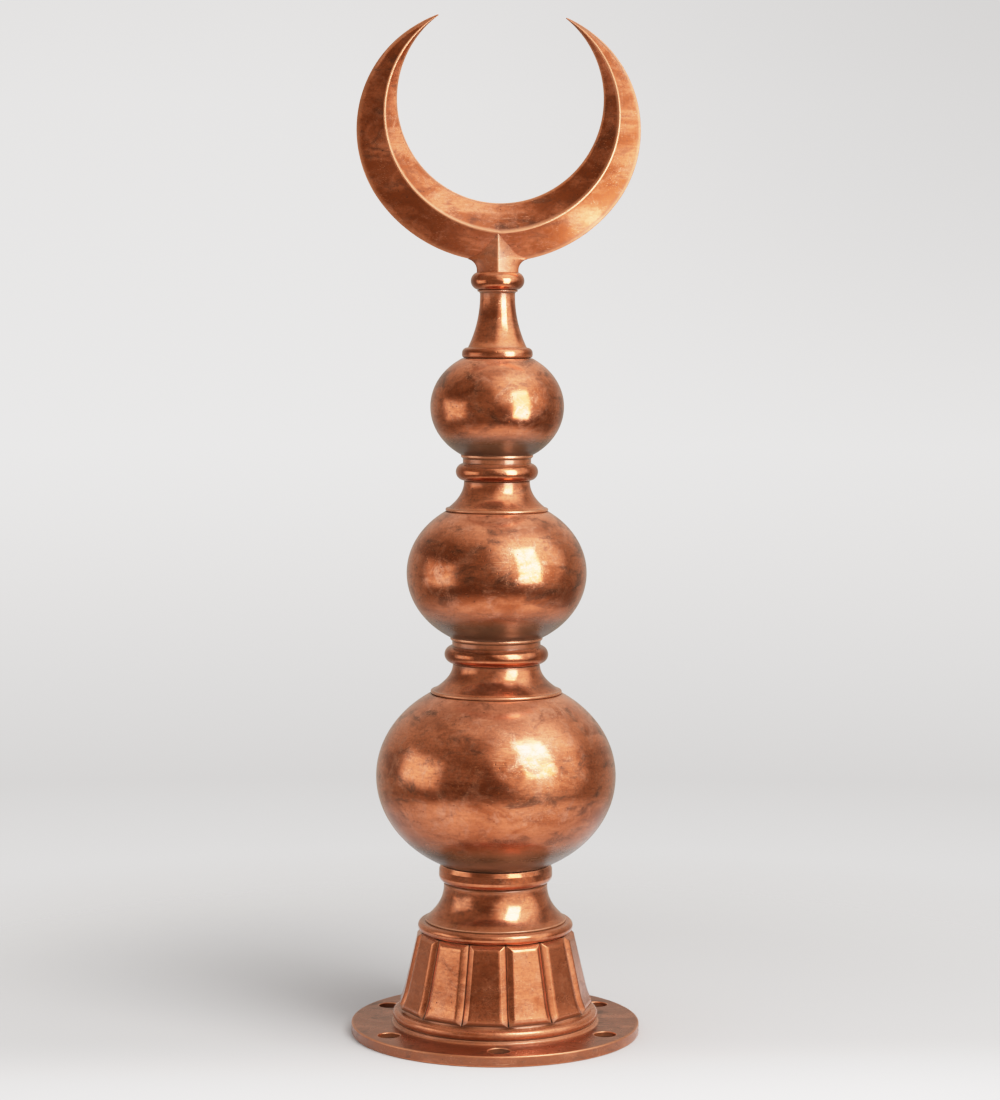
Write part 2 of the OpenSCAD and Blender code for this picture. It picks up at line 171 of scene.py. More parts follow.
def ease_corners(points, radius=EDGE_WEAR):
    """Rounds each sharp corner of an outline, as long wear does."""
    points = [np.array(p, float) for p in points]
    eased = [points[0]]
    for before, here, after in zip(points, points[1:], points[2:]):
        angle = turning(before, here, after)
        if abs(angle) < math.radians(14):
            eased.append(here)
            continue
        cut = radius * math.tan(abs(angle) / 2)
        cut = min(cut, 0.45 * np.linalg.norm(here - before), 0.45 * np.linalg.norm(after - here))
        start = here + (before - here) * cut / np.linalg.norm(before - here)
        end = here + (after - here) * cut / np.linalg.norm(after - here)
        for t in np.linspace(0, 1, 5):
            eased.append((1 - t) ** 2 * start + 2 * t * (1 - t) * here + t ** 2 * end)
    eased.append(points[-1])
    return np.array(eased)


def fill_gaps(points):
    """Adds points along the long straights, so that wear, dirt and painted shade can fade out near an edge.
    """
    filled = [points[0]]
    for start, end in zip(points, points[1:]):
        length = np.linalg.norm(end - start)
        if length > COARSE_STEP:
            near = [s for s in (0.4, 0.9, 1.8) if s < length / 2]
            middle = np.linspace(near[-1], length - near[-1], max(2, round(length / COARSE_STEP)))
            for s in [*near[:-1], *middle, *[length - s for s in near[-2::-1]]]:
                filled.append(start + (end - start) * s / length)
        if length > 1e-6:
            filled.append(end)
    return np.array(filled)


def wear_grime_and_shade(points, end_dirt_and_shade):
    """Worn bright on tight outer edges of an outline. Darker in its tight hollows and at its ends, where the
    next piece meets and shades it: dirt together with painted shade, fading out in brown over a few
    millimetres."""
    steps = np.linalg.norm(np.diff(points, axis=0), axis=1)
    along = np.concatenate([[0], np.cumsum(steps)])
    bend = np.zeros(len(points))
    for i in range(1, len(points) - 1):
        bend[i] = turning(points[i - 1], points[i], points[i + 1])
    def spread(values, reach):
        gap = (along[:, None] - along[None, :]) / reach
        return (np.exp(-gap ** 2) * values[None, :]).sum(1)
    wear = np.clip(spread(np.clip(bend, 0, None), 0.55) * 1.5 - 0.35, 0, 1)
    hollow = np.clip(-bend, 0, None)
    grime = np.clip(spread(hollow, 0.7) - 0.25, 0, 0.44)
    grime = np.maximum(grime, np.clip(spread(hollow, 5.0) * 0.2, 0, 0.25))
    # Both ends darkened, where the next piece sits on this one and shades it: painted shade together with
    # dirt.
    for distance, dirt in ((along, end_dirt_and_shade[0]), (along[-1] - along, end_dirt_and_shade[1])):
        grime = np.maximum(grime, dirt * np.exp(-(distance / 0.8) ** 2))
        grime = np.maximum(grime, 0.4 * dirt * np.exp(-(distance / 4.0) ** 2))
    return wear, grime


# ---- meshes ----

def add_attribute(mesh, name, values):
    layer = mesh.attributes.new(name, "FLOAT", "POINT")
    layer.data.foreach_set("value", np.asarray(values, np.float32))


def make_object(name, mesh, material=None):
    if material is not None:
        mesh.materials.clear()
        mesh.materials.append(material)
    piece = bpy.data.objects.new(name, mesh)
    bpy.context.scene.collection.objects.link(piece)
    return piece


def mesh_from(name, vertices, faces, **attributes):
    mesh = bpy.data.meshes.new(name)
    mesh.from_pydata([tuple(v) for v in vertices], [], faces)
    for attribute, values in attributes.items():
        add_attribute(mesh, attribute, values)
    mesh.shade_smooth()
    mesh.update()
    return mesh


def ring_faces(rings, around, clockwise=False):
    """Quads between rings of points that follow each other."""
    faces = []
    for i in range(rings - 1):
        for k in range(around):
            a, b = i * around + k, i * around + (k + 1) % around
            quad = (a, b, b + around, a + around)
            faces.append((a, *quad[:0:-1]) if clockwise else quad)
    return faces


def spin_mesh(name, outline, base_z, end_dirt_and_shade=(0.6, 0.6), around=AROUND):
    """Turns an outline into a closed solid round the Z axis."""
    points = fill_gaps(ease_corners(outline))
    wear, grime = wear_grime_and_shade(points, end_dirt_and_shade)
    angles = np.linspace(0, TURN, around, endpoint=False)
    rings = np.array([
        [[r * math.cos(a), r * math.sin(a), base_z + z] for a in angles] for r, z in points])
    count = len(points)
    vertices = np.concatenate([
        rings.reshape(-1, 3),
        [[0, 0, base_z + points[0][1]], [0, 0, base_z + points[-1][1]]]]) * MM
    foot, head = count * around, count * around + 1
    faces = ring_faces(count, around)
    for j in range(around):
        k = (j + 1) % around
        faces.append((foot, k, j))
        faces.append((head, (count - 1) * around + j, (count - 1) * around + k))
    caps = [0.0, 0.0]
    return mesh_from(
        name, vertices, faces,
        wear=[*np.repeat(wear, around), *caps],
        grime=[*np.repeat(grime, around), *caps])


# ---- node trees ----

MATH = "ShaderNodeMath"
VECTOR = "ShaderNodeVectorMath"
SPLIT = "ShaderNodeSeparateXYZ"
RAMP = "ShaderNodeMapRange"
MIX = "ShaderNodeMix"
NOISE = "ShaderNodeTexNoise"
STORE = "GeometryNodeStoreNamedAttribute"
SMOOTH = {"interpolation_type": "SMOOTHSTEP"}
COLOUR = {"data_type": "RGBA"}


def add(tree, kind, inputs=(), **settings):
    """Adds a node. Inputs are a dict keyed by a socket's name, or a list for the live sockets in order.
    Each is a value, a socket, or a node, which stands for its first live output."""
    node = tree.nodes.new(kind)
    for setting, value in settings.items():
        setattr(node, setting, value)
    named = isinstance(inputs, dict)
    sockets = [node.inputs[name] for name in inputs] if named else [s for s in node.inputs if s.enabled]
    for socket, value in zip(sockets, inputs.values() if named else inputs):
        if isinstance(value, bpy.types.Node):
            value = next(s for s in value.outputs if s.enabled)
        if isinstance(value, bpy.types.NodeSocket):
            tree.links.new(value, socket)
        else:
            socket.default_value = value
    return node


def geometry_tree(name, inputs):
    """A tree with a geometry input and output and the named inputs, as {name: socket type}."""
    tree = bpy.data.node_groups.new(name, "GeometryNodeTree")
    tree.interface.new_socket(name="Geometry", in_out="INPUT", socket_type="NodeSocketGeometry")
    tree.interface.new_socket(name="Geometry", in_out="OUTPUT", socket_type="NodeSocketGeometry")
    for label, kind in inputs.items():
        tree.interface.new_socket(name=label, in_out="INPUT", socket_type=kind)
    return tree, add(tree, "NodeGroupInput").outputs


def finish_tree(tree, geometry, material):
    """Ends a tree: real geometry, with its material set."""
    real = add(tree, "GeometryNodeRealizeInstances", [geometry])
    painted = add(tree, "GeometryNodeSetMaterial", {"Geometry": real, "Material": material})
    add(tree, "NodeGroupOutput", [painted])


def run_tree(tree, name, start_mesh, values):
    """Runs a tree on a mesh with its inputs set, and returns the plain mesh that it makes."""
    maker = make_object(name + "_maker", start_mesh)
    modifier = maker.modifiers.new("make", "NODES")
    modifier.node_group = tree
    for item in tree.interface.items_tree:
        if item.name in values:
            modifier[item.identifier] = values[item.name]
    graph = bpy.context.evaluated_depsgraph_get()
    made = bpy.data.meshes.new_from_object(
        maker.evaluated_get(graph), preserve_all_data_layers=True, depsgraph=graph)
    made.name = name
    maker.modifiers.remove(modifier)
    bpy.data.objects.remove(maker)
    return made


# ---- colours ----

def srgb(code):
    """A hex colour as linear RGBA."""
    parts = [int(code[i:i + 2], 16) / 255 for i in (1, 3, 5)]
    linear = [p / 12.92 if p <= 0.04045 else ((p + 0.055) / 1.055) ** 2.4 for p in parts]
    return (*linear, 1.0)


FRESH_COPPER = "#f3b08a"     # rubbed bright on edges and ridges
WARM_COPPER = "#e38d62"      # clean worn metal
BROWN_COPPER = "#a8592b"     # even brown oxide
SMOKE = "#5c4030"            # smoky grey-brown stain
BROWN_TARNISH_AND_SHADE = "#835233"          # dull brown round the joints and under the balls: tarnish together with painted shade
UNDERSIDE_SHADE = "#5a4733"       # darker, greyer brown where that brown faces down: painted shade on undersides
ROSE_HAZE = "#e6a488"        # dry pink film left by wiping
DARK_GRIME_AND_SHADOW = "#24150d"            # near black: old dirt in grooves, pits and specks, and painted shadow in seams, gaps and bores
DUST_AND_SHEEN_FACING = (0.3, 0.95)          # how far up a surface faces where pale dust, which also paints a light sheen on the tops, starts to lie, and where it is full
# how strong the pale dust on upward faces is, with its painted light sheen
DUST_AND_SHEEN = 0.6
LEAST_FILM = 0.06            # the share of the metal that a thin film hides everywhere


def copper_noises(tree, place):
    """The noises behind the marks, by name, at their real sizes."""
    flat = add(tree, "ShaderNodeMapping", {"Vector": place, "Scale": (1.0, 1.0, 2.1)})
    spun = add(tree, "ShaderNodeMapping", {"Vector": place, "Scale": (0.12, 0.12, 1.0)})
    drawn, crossed = [
        add(tree, "ShaderNodeMapping", {"Vector": place, "Rotation": turn, "Scale": (0.03, 1.0, 1.0)})
        for turn in ((0.4, 0.9, 0.5), (1.2, -0.6, 0.2))]
    table = {
        # name: coordinates, size in millimetres, detail, roughness, twist
        "clouds": (flat, 46, 5, 0.6, 0.6),
        "stains": (flat, 26, 5.5, 0.62, 0.6),
        "veil": (place, 17, 7, 0.72, 1.0),
        "mottle": (place, 2.4, 4, 0.75, 0.0),
        "specks": (place, 0.7, 2, 0.6, 0.0),
        "swirl": (place, 24, 2.5, 0.5, 2.4),
        "second swirl": (flat, 15, 2, 0.5, 2.8),
        "pit groups": (place, 26, 3, 0.6, 0.0),
        "streaks": (spun, 1.7, 3, 0.65, 0.0),
        "strokes": (drawn, 0.75, 1, 0.6, 0.0),
        "crossed strokes": (crossed, 0.75, 1, 0.6, 0.0),
        "stroke groups": (place, 34, 2, 0.6, 0.0)}
    return {
        name: add(tree, NOISE, {
            "Vector": vector, "Scale": 1 / (size * MM), "Detail": detail, "Roughness": rough,
            "Distortion": twist})
        for name, (vector, size, detail, rough, twist) in table.items()}


def copper_marks(tree, place, noises):
    """Masks from 0 to 1: stained patches, dark specks inside them, pits a millimetre across in loose
    groups, thin curved wiping marks, and light straight scratches in two directions."""
    patch = add(tree, RAMP, (noises["stains"], 0.52, 0.69), **SMOOTH)
    cells = add(tree, "ShaderNodeTexVoronoi", {"Vector": place, "Scale": 1 / (6 * MM)})
    lines = []
    for name, level, width in (("swirl", 0.5, 0.0045), ("second swirl", 0.46, 0.004)):
        off = add(tree, MATH, (noises[name], level), operation="SUBTRACT")
        off = add(tree, MATH, [off], operation="ABSOLUTE")
        lines.append(add(tree, RAMP, (off, 0.0, width, 1.0, 0.0), **SMOOTH))
    strokes = [
        add(tree, RAMP, (noises[name], 0.66, 0.73), **SMOOTH) for name in ("strokes", "crossed strokes")]
    marks = {
        "specks": (add(tree, RAMP, (noises["specks"], 0.56, 0.68), **SMOOTH), patch),
        "pits": (
            add(tree, RAMP, (cells, 0.05, 0.12, 1.0, 0.0), **SMOOTH),
            add(tree, RAMP, (noises["pit groups"], 0.44, 0.56), **SMOOTH)),
        "wiping": (
            add(tree, MATH, lines, operation="MAXIMUM"),
            add(tree, RAMP, (noises["veil"], 0.46, 0.6), **SMOOTH)),
        "scratches": (
            add(tree, MATH, strokes, operation="MAXIMUM"),
            add(tree, RAMP, (noises["stroke groups"], 0.46, 0.56), **SMOOTH))}
    grouped = {name: add(tree, MATH, pair, operation="MULTIPLY") for name, pair in marks.items()}
    return {"patch": patch, **grouped}


def copper_colour(tree, noises, marks, carried, upright, stain, haze, brown):
    """Lays the colours over each other, from the bare sheet to the dirt and painted shade in its hollows."""
    oxide = add(tree, RAMP, (noises["clouds"], 0.36 + brown, 0.58 + brown), **SMOOTH)
    colour = add(tree, MIX, (oxide, srgb(BROWN_COPPER), srgb(WARM_COPPER)), **COLOUR)
    lines = add(tree, MATH, (marks["wiping"], marks["scratches"]), operation="MAXIMUM")
    # Where that mask lies on faces that turn down, the brown goes darker and greyer: painted shade.
    under = add(tree, RAMP, (upright, -0.2, -0.6), **SMOOTH)
    tarnish_and_shade = add(tree, MIX, (under, srgb(BROWN_TARNISH_AND_SHADE), srgb(UNDERSIDE_SHADE)), **COLOUR)
    layers = (
        # mask, how strong, colour
        (add(tree, RAMP, (noises["veil"], 0.48, 0.66), **SMOOTH), haze, srgb(ROSE_HAZE)),
        (add(tree, RAMP, (noises["streaks"], 0.42, 0.68), **SMOOTH), 0.3, srgb(BROWN_COPPER)),
        # Pale pink dust on what faces up, which also paints the tops lighter: dust together with a painted
        # sheen.
        (add(tree, RAMP, (upright, *DUST_AND_SHEEN_FACING), **SMOOTH), DUST_AND_SHEEN * haze, srgb(ROSE_HAZE)),
        (marks["patch"], stain, srgb(SMOKE)),
        (add(tree, RAMP, (noises["mottle"], 0.4, 0.75), **SMOOTH), 0.42, srgb(SMOKE)),
        (carried["tone"], 0.4, srgb(BROWN_COPPER)),
        (lines, 0.65, srgb(FRESH_COPPER)),
        (marks["specks"], 0.6, srgb(DARK_GRIME_AND_SHADOW)),
        (marks["pits"], 0.8, srgb(DARK_GRIME_AND_SHADOW)),
        (carried["wear"], 0.8, srgb(FRESH_COPPER)),
        # Browner on faces that turn down: painted shade.
        (add(tree, RAMP, (upright, 0.0, -0.6), **SMOOTH), 0.35, srgb(BROWN_COPPER)),
        # Brown, then near black, where the mask of dirt and painted shade is strong.
        (add(tree, RAMP, (carried["grime"], 0.0, 0.5), **SMOOTH), 0.9, tarnish_and_shade),
        (add(tree, RAMP, (carried["grime"], 0.5, 1.0), **SMOOTH), 0.9, srgb(DARK_GRIME_AND_SHADOW)))
    for mask, strength, tone in layers:
        share = add(tree, MATH, (mask, strength), operation="MULTIPLY")
        colour = add(tree, MIX, (share, colour, tone), **COLOUR)
    return colour


def weighted_sum(tree, start, parts):
    """A value plus each part times its weight."""
    for part, weight in parts:
        start = add(tree, MATH, (part, weight, start), operation="MULTIPLY_ADD")
    return start


def copper_gloss(tree, noises, marks, carried, haze, rough_from):
    """Roughness: least where the oxide has been wiped off, and more under haze, stains and dirt."""
    gloss = add(tree, RAMP, (noises["clouds"], 0.3, 0.65, rough_from + 0.05, rough_from), **SMOOTH)
    return weighted_sum(tree, gloss, (
        (add(tree, RAMP, (noises["veil"], 0.5, 0.68), **SMOOTH), 0.12 * haze),
        (marks["patch"], 0.12),
        (add(tree, RAMP, (noises["streaks"], 0.4, 0.7), **SMOOTH), 0.04),
        (carried["grime"], 0.3),
        (carried["wear"], 0.1)))


def copper_film(tree, carried, upright, haze):
    """How much of the metal a dull film hides: dust on what faces up, and dirt wherever the mask of dirt and
    painted shade lies.
    """
    dust = add(tree, RAMP, (upright, *DUST_AND_SHEEN_FACING, 0.0, DUST_AND_SHEEN * haze), **SMOOTH)
    dirt = add(tree, RAMP, (carried["grime"], 0.0, 0.35, 0.0, 0.75), **SMOOTH)
    film = add(tree, MATH, (dust, dirt), operation="MAXIMUM")
    return add(tree, MATH, (film, LEAST_FILM), operation="ADD")


COPPERS = {
    # name: stain, haze, rings, rough_from and brown, as worn_copper takes them
    "rolled_copper_plate": (0.7, 0.1, 0.0, 0.26, 0.18),       # satin and dark, with broad brown stains
    "pressed_copper_sheet": (0.35, 0.3, 0.0, 0.17, -0.06),    # bright smooth faces with soft reflections
    "spun_copper": (0.65, 0.6, 1.0, 0.1, 0.0),                # soft mirror, clouded by haze and smoky stains
    "burnished_spun_copper": (0.4, 0.25, 1.0, 0.07, 0.0),     # cleaner, with crisp bands of light
    "hand_formed_copper": (0.6, 0.3, 0.0, 0.3, 0.08)}         # broad satin bevels, mottled brown


def worn_copper(name, stain, haze, rings, rough_from, brown):
    """Copper sheet, old and handled: a warm metal that mirrors softly, clouded by brown oxide and smoky
    stains, with small dark pits, wiping marks, bright worn edges, dirt and painted shade in the hollows and
    on the undersides, and pale dust with a painted sheen on top.
    stain and haze say how much of each shows, rings how strong the lathe's marks are, rough_from how
    rough the cleanest parts are, and brown how far the oxide has spread."""
    material = bpy.data.materials.new(name)
    material.use_nodes = True
    tree = material.node_tree
    tree.nodes.clear()
    place = add(tree, "ShaderNodeTexCoord").outputs["Object"]
    upright = add(tree, SPLIT, [add(tree, "ShaderNodeNewGeometry").outputs["Normal"]]).outputs["Z"]
    carried = {
        part: add(tree, "ShaderNodeAttribute", attribute_name=part).outputs["Fac"]
        for part in ("wear", "grime", "tone")}
    noises = copper_noises(tree, place)
    marks = copper_marks(tree, place, noises)
    relief = weighted_sum(tree, 0.0, (
        (noises["streaks"], 0.010 * rings), (noises["mottle"], 0.012), (marks["pits"], -0.12),
        (marks["wiping"], 0.012)))
    film = copper_film(tree, carried, upright, haze)
    shader = add(tree, "ShaderNodeBsdfPrincipled", {
        "Base Color": copper_colour(tree, noises, marks, carried, upright, stain, haze, brown),
        "Roughness": copper_gloss(tree, noises, marks, carried, haze, rough_from),
        "Metallic": add(tree, MATH, (1.0, film), operation="SUBTRACT"),
        "Normal": add(tree, "ShaderNodeBump", {"Height": relief, "Distance": MM, "Strength": 1.0}),
        "Coat Weight": 0.7, "Coat Roughness": 0.25})
    add(tree, "ShaderNodeOutputMaterial", {"Surface": shader})
    return material


# ---- the turned pieces ----

def base_neck_outline():
    half, bead = TORUS_H / 2, THIN_BEAD_H / 2
    torus_r = widest("base_neck")
    bead_r = torus_r - THIN_BEAD_SETBACK
    foot, head = TORUS_H + THIN_BEAD_H, tall("base_neck")
    return [
        *arc(torus_r - half, half, half, -90, 66),
        *arc(bead_r - bead, TORUS_H + bead, bead, -70, 70),
        *flare(bead_r - bead, foot, BASE_NECK_TOP_R, head - BASE_NECK_LAND, 2.26),
        [BASE_NECK_TOP_R, head]]


def collar_outline():
    r, h = widest("collar"), tall("collar")
    top_r = r - COLLAR_EDGE_STEP
    return [
        *arc(r - COLLAR_ROUND, COLLAR_ROUND, COLLAR_ROUND, -80, 0),
        [r - 0.2, h - COLLAR_EDGE_H],
        *arc(top_r - COLLAR_EDGE_ROUND, h - COLLAR_EDGE_ROUND, COLLAR_EDGE_ROUND, 0, 90),
        [top_r - 6, h]]


def neck_outline(node, top_r):
    lip = LIP_H / 2
    lip_r = widest(node) - lip
    return [
        *arc(lip_r, lip, lip, -90, 80),
        *flare(lip_r - LIP_STEP, LIP_H, top_r, tall(node), 2.2)]


def ring_outline(node, band_setback):
    r, h = widest(node), tall(node)
    band_r = r - band_setback
    end = math.degrees(math.acos((RING_BEAD - band_setback) / RING_BEAD))
    return [
        *arc(r - RING_BEAD, RING_BEAD, RING_BEAD, -90, end),
        [band_r, h - 2 * BAND_LIP],
        [band_r + BAND_LIP, h - BAND_LIP],
        [band_r + BAND_LIP, h],
        [band_r - 4, h]]


def long_neck_outline():
    r, h = widest("long_neck"), tall("long_neck")
    seat_r = LONG_NECK_R + KNOP_SEAT_STEP
    return [
        *arc(r - NECK_RING_LOWER, NECK_RING_LOWER, NECK_RING_LOWER, -70, 0),
        *arc(r - NECK_RING_UPPER, NECK_RING_H - NECK_RING_UPPER, NECK_RING_UPPER, 0, 90),
        *flare(r - NECK_RING_UPPER - 0.3, NECK_RING_H, LONG_NECK_R, h - KNOP_SEAT_H, 2.1),
        *arc(seat_r, h - KNOP_SEAT_H, KNOP_SEAT_STEP, 180, 100),
        [seat_r, h - 1],
        [seat_r, h]]


def knop_outline():
    core_r = widest("knop") - KNOP_BEAD
    top_angle = math.degrees(math.asin(tall("knop") / KNOP_BEAD - 1))
    return arc(core_r, KNOP_BEAD, KNOP_BEAD, -90, top_angle)


# ---- the balls, by geometry nodes ----

def oval_place(tree, given):
    """A flat grid's points wrapped round an oval: its X is the angle about Z and its Y the angle up."""
    flat = add(tree, SPLIT, [add(tree, "GeometryNodeInputPosition")]).outputs
    ends = add(tree, MATH, (given["High angle"], given["Low angle"]), operation="ADD")
    up = add(tree, MATH, (ends, 0.5, flat["Y"]), operation="MULTIPLY_ADD")
    cosine = add(tree, MATH, [up], operation="COSINE")
    reach = add(tree, MATH, (cosine, given["Radius"]), operation="MULTIPLY")
    rise = add(tree, MATH, [up], operation="SINE")
    across = [
        add(tree, MATH, (reach, add(tree, MATH, [flat["X"]], operation=side)), operation="MULTIPLY")
        for side in ("COSINE", "SINE")]
    height = add(tree, MATH, (rise, given["Rise"], given["Middle"]), operation="MULTIPLY_ADD")
    return up, add(tree, "ShaderNodeCombineXYZ", (*across, height))


def ball_dirt_and_shade(tree, given, up):
    """Dirt and painted shade where the ball meets its seat and the lip above, and broad brown painted shade
    over its underside; the distances are along the oval."""
    gaps = []
    for end, start in ((up, given["Low angle"]), (given["High angle"], up)):
        angle = add(tree, MATH, (end, start), operation="SUBTRACT")
        gaps.append(add(tree, MATH, (angle, given["Radius"]), operation="MULTIPLY"))
    nearest = add(tree, MATH, gaps, operation="MINIMUM")
    narrow = add(tree, RAMP, (nearest, 0.0, 1.3 * MM, 0.6, 0.0))
    reach = add(tree, MATH, (given["Radius"], 0.75), operation="MULTIPLY")
    # Darker over the lowest three quarters of a radius above the seat: painted shade on the underside.
    broad = add(tree, RAMP, (gaps[0], 0.0, reach, 0.75, 0.0), **SMOOTH)
    return add(tree, MATH, (narrow, broad), operation="MAXIMUM")


def planishing(tree, given):
    """Unevenness along the normal, from a slow noise."""
    here = add(tree, "GeometryNodeInputPosition")
    shifted = add(tree, VECTOR, (here, given["Seed"]), operation="ADD")
    slow = add(tree, NOISE, {"Vector": shifted, "Scale": 1 / (38 * MM), "Detail": 1.5, "Roughness": 0.45})
    centred = add(tree, MATH, (slow, 0.5), operation="SUBTRACT")
    push = add(tree, MATH, (centred, given["Unevenness"]), operation="MULTIPLY")
    return add(tree, VECTOR, (add(tree, "GeometryNodeInputNormal"), push), operation="SCALE")


def ball_tree():
    """Flattened ball: an oval turned about Z between two angles, a little uneven from planishing."""
    tree, given = geometry_tree("planished_ball", {
        "Radius": "NodeSocketFloat", "Rise": "NodeSocketFloat", "Middle": "NodeSocketFloat",
        "Low angle": "NodeSocketFloat", "High angle": "NodeSocketFloat",
        "Unevenness": "NodeSocketFloat", "Seed": "NodeSocketFloat", "Material": "NodeSocketMaterial"})
    sweep = add(tree, MATH, (given["High angle"], given["Low angle"]), operation="SUBTRACT")
    grid = add(tree, "GeometryNodeMeshGrid", {
        "Size X": TURN, "Size Y": sweep, "Vertices X": AROUND + 1, "Vertices Y": BALL_ROWS})
    up, place = oval_place(tree, given)
    dirty = add(tree, STORE, {
        "Geometry": grid, "Name": "grime", "Value": ball_dirt_and_shade(tree, given, up)},
        data_type="FLOAT", domain="POINT")
    worn = add(tree, STORE, {
        "Geometry": dirty, "Name": "wear", "Value": 0.0}, data_type="FLOAT", domain="POINT")
    oval = add(tree, "GeometryNodeSetPosition", {"Geometry": worn, "Position": place})
    closed = add(tree, "GeometryNodeMergeByDistance", {"Geometry": oval, "Distance": 0.01 * MM})
    uneven = add(tree, "GeometryNodeSetPosition", {"Geometry": closed, "Offset": planishing(tree, given)})
    smooth = add(tree, "GeometryNodeSetShadeSmooth", {"Geometry": uneven})
    finish_tree(tree, smooth, given["Material"])
    return tree


def ball_mesh(tree, node, seat_r, lip_r, seed, material):
    radius, height = widest(node), tall(node)
    low_angle, high_angle = -math.acos(seat_r / radius), math.acos(lip_r / radius)
    rise = height / (math.sin(high_angle) - math.sin(low_angle))
    mesh = run_tree(tree, node + "_shell", bpy.data.meshes.new("empty"), {
        "Radius": radius * MM, "Rise": rise * MM,
        "Middle": (low(node) - rise * math.sin(low_angle)) * MM,
        "Low angle": low_angle, "High angle": high_angle,
        "Unevenness": 0.22 * MM, "Seed": seed, "Material": material})
    close_ends(mesh)
    return mesh


def close_ends(mesh):
    """Closes the open ends of a tube with flat faces that point outwards."""
    work = bmesh.new()
    work.from_mesh(mesh)
    edges = [e for e in work.edges if e.is_boundary]
    made = bmesh.ops.holes_fill(work, edges=edges, sides=0)
    for face in made["faces"]:
        face.smooth = False
    bmesh.ops.recalc_face_normals(work, faces=work.faces)
    work.to_mesh(mesh)
    work.free()


# ---- the panelled base ----

def panel_mesh():
    """One panel, centred on +X: a flat face with rolled sides and ends, mitred at the corners."""
    step = TURN / PANEL_COUNT
    lean = math.tan(math.radians(PANEL_SLOPE))
    valley_foot = PANEL_TOP_R + PANEL_H * lean - VALLEY_DEPTH
    side_steps = [*np.linspace(0, 1, 15) ** 1.5 * PANEL_SIDE]
    ends = [
        *(np.linspace(0, 1, 17) ** 1.4 * PANEL_BOTTOM_END),
        *np.linspace(PANEL_BOTTOM_END, PANEL_H - PANEL_TOP_END, 24)[1:-1],
        *(PANEL_H - np.linspace(1, 0, 13) ** 1.4 * PANEL_TOP_END)]
    vertices, wear, grime = [], [], []

    def roll(distance, width, power=1.1):
        """How far up the rolled edge has come, as a share, at a distance in from its foot."""
        t = min(distance / width, 1)
        return (1 - (1 - t) ** power) ** (1 / power)

    for z in ends:
        radius = valley_foot - z * lean + PANEL_FLARE * max(0, 1 - z / PANEL_FLARE_H) ** 2
        half = radius * math.sin(step / 2)
        face_half = (radius + VALLEY_DEPTH) * math.sin(step / 2)
        across = [*side_steps, *np.linspace(PANEL_SIDE, 2 * face_half - PANEL_SIDE, 12)[1:-1],
                  *[2 * face_half - s for s in side_steps[::-1]]]
        for s in across:
            edge = min(s, 2 * face_half - s)
            side = roll(edge, PANEL_SIDE)
            foot = 0.12 + 0.88 * roll(z, PANEL_BOTTOM_END)
            head = 0.12 + 0.88 * roll(PANEL_H - z, PANEL_TOP_END)
            share = min(side, foot, head)
            groove = VALLEY_GROOVE * math.exp(-(edge / 0.45) ** 2)
            rise = VALLEY_DEPTH * share - groove
            width = (s - face_half) * (half + (face_half - half) * share) / face_half
            out = radius * math.cos(step / 2) + rise * math.cos(step / 2)
            vertices.append([out, width, z])
            mitre = math.exp(-((side - min(foot, head)) / 0.06) ** 2) if side < 0.97 else 0
            crest = math.exp(-((share - 0.95) / 0.05) ** 2) if share < 0.999 else 0
            wear.append(min(1, 0.5 * mitre + 0.2 * crest))
            # Painted shadow of the seam gap along each valley, and darker at the panel's ends and foot:
            # painted shade together with dirt.
            end_dirt_and_shade = math.exp(-(min(z, PANEL_H - z) / 0.8) ** 2)
            foot_dirt = 0.5 * math.exp(-(z / 4) ** 2)
            grime.append(min(1, math.exp(-(edge / 0.55) ** 2) + max(0.4 * end_dirt_and_shade, foot_dirt)))
    wide = len(across)
    faces = [
        (row * wide + i, row * wide + i + 1, (row + 1) * wide + i + 1, (row + 1) * wide + i)
        for row in range(len(ends) - 1) for i in range(wide - 1)]
    base_z = low("panelled_base") + tall("panelled_base") - PANEL_H
    placed = np.array(vertices) + [0, 0, base_z]
    return mesh_from("panel", placed * MM, faces, wear=wear, grime=grime)


def panel_ring_tree():
    """Copies one panel round the Z axis, each with a tone of its own, and joins the foot to them."""
    tree, given = geometry_tree("ring_of_panels", {
        "Count": "NodeSocketInt", "Turn": "NodeSocketFloat", "Foot": "NodeSocketObject",
        "Seed": "NodeSocketInt", "Material": "NodeSocketMaterial"})
    points = add(tree, "GeometryNodePoints", {"Count": given["Count"]})
    step = add(tree, MATH, (TURN, given["Count"]), operation="DIVIDE")
    centre = add(tree, MATH, (add(tree, "GeometryNodeInputIndex"), 0.5), operation="ADD")
    angle = add(tree, MATH, (centre, step, given["Turn"]), operation="MULTIPLY_ADD")
    copies = add(tree, "GeometryNodeInstanceOnPoints", {
        "Points": points, "Instance": given["Geometry"],
        "Rotation": add(tree, "ShaderNodeCombineXYZ", {"Z": angle})})
    shade = add(tree, "FunctionNodeRandomValue", (0.0, 1.0), data_type="FLOAT")
    tree.links.new(given["Seed"], shade.inputs["Seed"])
    toned = add(tree, STORE, {
        "Geometry": copies, "Name": "tone", "Value": shade}, data_type="FLOAT", domain="INSTANCE")
    real = add(tree, "GeometryNodeRealizeInstances", [toned])
    welded = add(tree, "GeometryNodeMergeByDistance", {"Geometry": real, "Distance": 0.02 * MM})
    foot = add(tree, "GeometryNodeObjectInfo", {"Object": given["Foot"]})
    joined = add(tree, "GeometryNodeJoinGeometry")
    tree.links.new(foot.outputs["Geometry"], joined.inputs[0])
    tree.links.new(welded.outputs[0], joined.inputs[0])
    finish_tree(tree, joined, given["Material"])
    return tree


